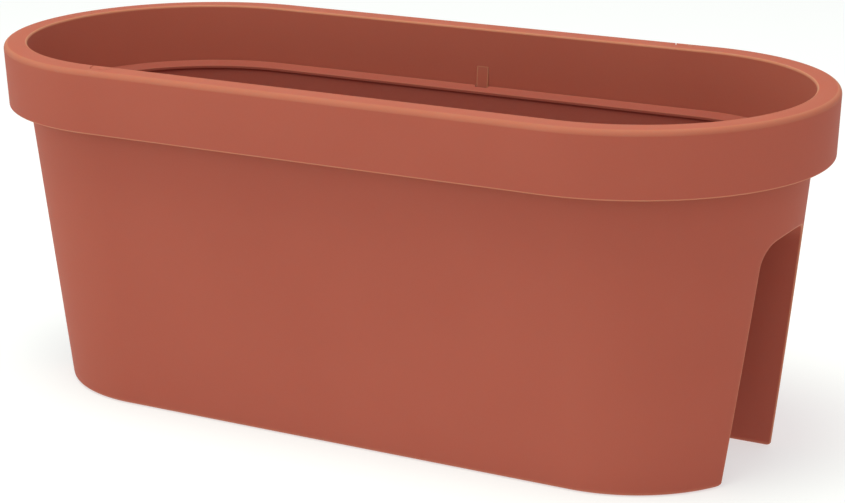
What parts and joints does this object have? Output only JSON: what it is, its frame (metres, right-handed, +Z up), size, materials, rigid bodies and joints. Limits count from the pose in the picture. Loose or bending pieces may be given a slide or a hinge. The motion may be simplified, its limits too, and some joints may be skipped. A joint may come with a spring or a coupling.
{
  "type": "self watering railing planter",
  "caption": "Saddle-shaped terracotta balcony planter with a cuffed rim, a lengthwise railing channel, a lift-out planting insert, water reservoirs, a filler and a float gauge.",
  "frame": {"origin": "middle of the footprint, on the plane that the leg feet stand on", "axes": "+X along the planter, -Y its front face, +Z up"},
  "size_m": [0.6, 0.264, 0.244],
  "materials": {
    "case_plastic": "satin-matt moulded polypropylene, terracotta",
    "cover_plastic": "satin-matt moulded polypropylene, terracotta",
    "insert_plastic": "matt moulded polypropylene, terracotta",
    "black_plastic": "matt black polypropylene",
    "felt": "pressed grey needle felt",
    "seal_rubber": "soft matt rubber",
    "neck_plastic": "matt moulded polypropylene",
    "cap_plastic": "satin-matt moulded polypropylene, terracotta",
    "pin_steel": "bright drawn wire",
    "tube_plastic": "natural white polypropylene tube",
    "float_foam": "closed-cell foam",
    "rod_plastic": "white extruded rod",
    "marker_plastic": "signal red plastic"
  },
  "bodies": {
    "case": {"outer_case": "case_plastic"},
    "insert": {"planting_insert": "insert_plastic", "wick_cup_front_left": "black_plastic", "wick_cup_back_left": "black_plastic", "wick_cup_front_right": "black_plastic", "wick_cup_back_right": "black_plastic", "felt_disc_front_left": "felt", "felt_disc_back_left": "felt", "felt_disc_front_right": "felt", "felt_disc_back_right": "felt", "filler_neck": "neck_plastic", "filler_grate": "black_plastic", "filler_hinge_pin": "pin_steel", "gauge_tube": "tube_plastic", "gauge_collar": "black_plastic"},
    "filler_lid": {"filler_cap": "cap_plastic"},
    "level_float": {"gauge_float": "float_foam", "gauge_rod": "rod_plastic", "gauge_marker": "marker_plastic"},
    "drain_front": {"drain_plug_front": "black_plastic", "drain_seal_front": "seal_rubber"},
    "drain_back": {"drain_plug_back": "black_plastic", "drain_seal_back": "seal_rubber"},
    "cover_back_right": {"rim_cover_back_right": "cover_plastic"},
    "cover_front_left": {"rim_cover_front_left": "cover_plastic"}
  },
  "joints": [
    {"name": "insert_lift", "type": "slide", "parent": "case", "child": "insert", "axis": [0, 0, 1], "range_m": [0, 0.26]},
    {"name": "filler_cap_hinge", "type": "hinge", "parent": "insert", "child": "filler_lid", "pos_m": [-0.0765, 0, 0.1975], "axis": [0, -1, 0], "range_deg": [0, 110]},
    {"name": "float_travel", "type": "slide", "parent": "insert", "child": "level_float", "axis": [0, 0, 1], "range_m": [0, 0.036]},
    {"name": "drain_front_pull", "type": "slide", "parent": "case", "child": "drain_front", "axis": [0, 0, 1], "range_m": [0, 0.02]},
    {"name": "drain_back_pull", "type": "slide", "parent": "case", "child": "drain_back", "axis": [0, 0, 1], "range_m": [0, 0.02]},
    {"name": "cover_back_right_lift", "type": "slide", "parent": "case", "child": "cover_back_right", "axis": [0, 0, 1], "range_m": [0, 0.015]},
    {"name": "cover_front_left_lift", "type": "slide", "parent": "case", "child": "cover_front_left", "axis": [0, 0, 1], "range_m": [0, 0.015]}
  ]
}
